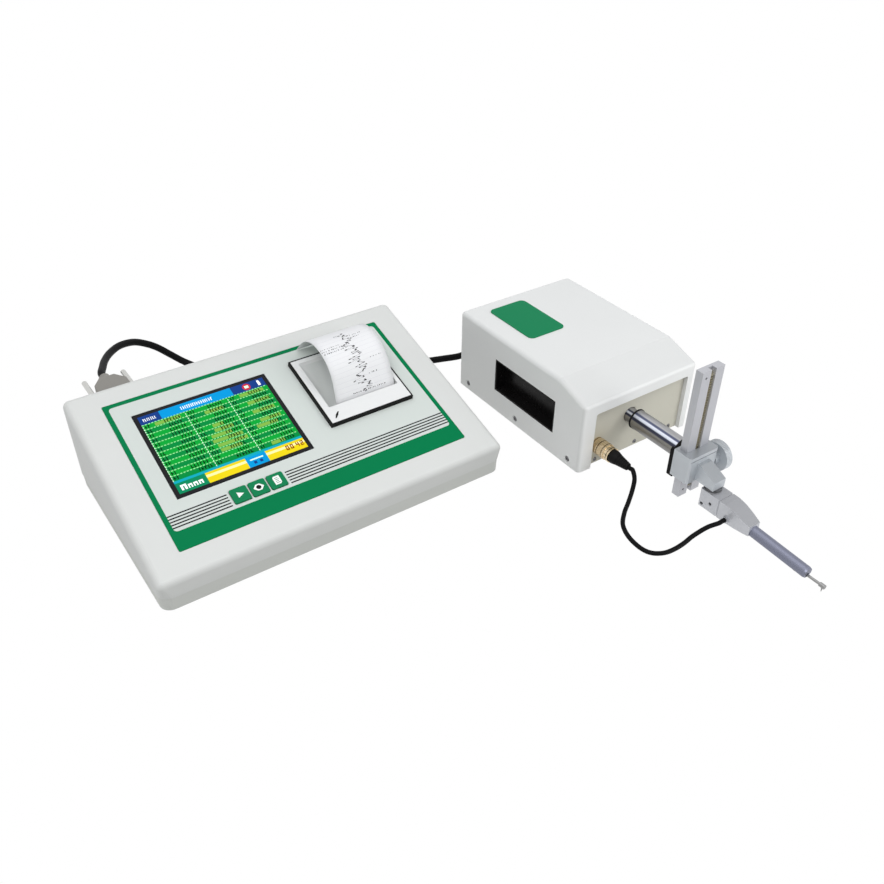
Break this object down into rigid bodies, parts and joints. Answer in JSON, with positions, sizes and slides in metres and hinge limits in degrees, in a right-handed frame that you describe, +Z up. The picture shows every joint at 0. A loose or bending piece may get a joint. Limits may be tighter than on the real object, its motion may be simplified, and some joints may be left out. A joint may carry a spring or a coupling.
{
  "type": "surface roughness tester",
  "caption": "Bench roughness tester: sloping console with screen, keys and strip printer, linked by cable to a drive unit that draws a stylus pickup on a rack-adjusted column.",
  "frame": {"origin": "on the table, below the middle of the set's bounding box without its cables", "axes": "+X from the console to the drive unit, +Y from the stylus to the console's back, +Z up"},
  "size_m": [0.48, 0.5702, 0.124],
  "materials": {
    "anodised": "satin anodised",
    "black_plastic": "satin",
    "board_green": "solder mask",
    "bronze": "turned",
    "cable_black": "satin",
    "chrome_rod": "polished",
    "console_shell": "satin moulded",
    "cover_paint": "satin white",
    "hood_grey": "moulded",
    "key_green": "satin",
    "label_green": "printed film",
    "nickel": "nickel plated",
    "overlay_print": "printed film",
    "paper": "matt",
    "pickup_grey": "satin",
    "plate_beige": "satin",
    "rack_brass": "cut teeth",
    "rubber_black": "matt",
    "screen_glass": "glossy",
    "steel": "brushed",
    "white_plastic": "satin",
    "window_smoke": "glossy smoked"
  },
  "bodies": {
    "frame": {"console_top": "console_shell", "console_base": "console_shell", "rubber_feet": "rubber_black", "console_screws": "steel", "overlay": "overlay_print", "screen_window": "screen_glass", "screen_module": "board_green", "main_board": "board_green", "key_board": "board_green", "printer_frame": "black_plastic", "printer_face": "white_plastic", "print_head": "steel", "paper_roll": "paper", "paper_strip": "paper", "link_socket": "nickel", "link_plug": "hood_grey", "link_screws": "nickel", "power_inlet": "black_plastic", "drive_base": "plate_beige", "drive_cover": "cover_paint", "drive_front": "plate_beige", "cover_screws": "steel", "front_screws": "steel", "side_window": "window_smoke", "label_plate": "label_green", "rod_bushes": "bronze", "rear_support": "anodised", "drive_motor": "steel", "front_socket": "nickel", "pickup_plug": "nickel", "plug_boot": "black_plastic", "link_gland": "black_plastic", "link_cable": "cable_black", "pickup_cable_a": "cable_black"},
    "traverse": {"drive_rod": "chrome_rod", "lead_nut": "bronze", "rod_sleeve": "chrome_rod", "sleeve_ring": "rubber_black", "column": "anodised", "column_rack": "rack_brass", "rack_screws": "steel", "pickup_cable_b": "cable_black"},
    "lead_screw": {"lead_screw": "steel"},
    "clamp_lever": {"clamp_lever": "black_plastic"},
    "carriage": {"carriage": "anodised", "swivel_arm": "anodised", "pickup_cable_c": "cable_black"},
    "height_knob": {"pinion_shaft": "steel", "height_knob": "steel"},
    "pickup": {"swivel_pin": "steel", "pickup_holder": "pickup_grey", "holder_screws": "steel", "pickup_body": "pickup_grey", "pickup_tube": "pickup_grey"},
    "stylus": {"stylus_arm": "steel"},
    "key_left": {"key_left": "key_green"},
    "key_middle": {"key_middle": "key_green"},
    "key_right": {"key_right": "key_green"},
    "power_switch": {"power_switch": "black_plastic"},
    "platen": {"platen_roller": "rubber_black"}
  },
  "joints": [
    {"name": "traverse_slide", "type": "slide", "parent": "frame", "child": "traverse", "axis": [0, -1, 0], "range_m": [-0.007, 0.038], "deforming": ["pickup_cable_a"]},
    {"name": "lead_screw_turn", "type": "hinge", "parent": "frame", "child": "lead_screw", "pos_m": [0.196, 0.08965, 0.04], "axis": [0, 1, 0], "continuous": true},
    {"name": "clamp_lever_turn", "type": "hinge", "parent": "traverse", "child": "clamp_lever", "pos_m": [0.168, -0.06875, 0.04], "axis": [0, 1, 0], "range_deg": [-30, 60]},
    {"name": "carriage_lift", "type": "slide", "parent": "traverse", "child": "carriage", "axis": [0, 0, 1], "range_m": [0, 0.065], "deforming": ["pickup_cable_b"]},
    {"name": "height_knob_turn", "type": "hinge", "parent": "carriage", "child": "height_knob", "pos_m": [0.168, -0.0833, 0.0338], "axis": [1, 0, 0], "range_deg": [-1000, 1000]},
    {"name": "pickup_swivel", "type": "hinge", "parent": "carriage", "child": "pickup", "pos_m": [0.168, -0.10385, 0.025], "axis": [0, 0, 1], "range_deg": [-60, 60], "deforming": ["pickup_cable_c"]},
    {"name": "stylus_tilt", "type": "hinge", "parent": "pickup", "child": "stylus", "pos_m": [0.168, -0.19115, 0.00611], "axis": [1, 0, 0], "range_deg": [-1, 1], "stiffness_Nm_per_rad": 0.004},
    {"name": "key_left_press", "type": "slide", "parent": "frame", "child": "key_left", "axis": [0, 0.284, -0.9588], "range_m": [0, 0.0008], "stiffness_N_per_m": 600},
    {"name": "key_middle_press", "type": "slide", "parent": "frame", "child": "key_middle", "axis": [0, 0.284, -0.9588], "range_m": [0, 0.0008], "stiffness_N_per_m": 600},
    {"name": "key_right_press", "type": "slide", "parent": "frame", "child": "key_right", "axis": [0, 0.284, -0.9588], "range_m": [0, 0.0008], "stiffness_N_per_m": 600},
    {"name": "power_switch_rock", "type": "hinge", "parent": "frame", "child": "power_switch", "pos_m": [0.017, 0.20865, 0.032], "axis": [1, 0, 0], "range_deg": [0, 8]},
    {"name": "platen_turn", "type": "hinge", "parent": "frame", "child": "platen", "pos_m": [-0.022, 0.12311, 0.03657], "axis": [1, 0, 0], "continuous": true}
  ],
  "couplings": [
    {"joint": "lead_screw_turn", "follows": "traverse_slide", "rad_per_m": -628.32},
    {"joint": "height_knob_turn", "follows": "carriage_lift", "rad_per_m": -266.67}
  ]
}
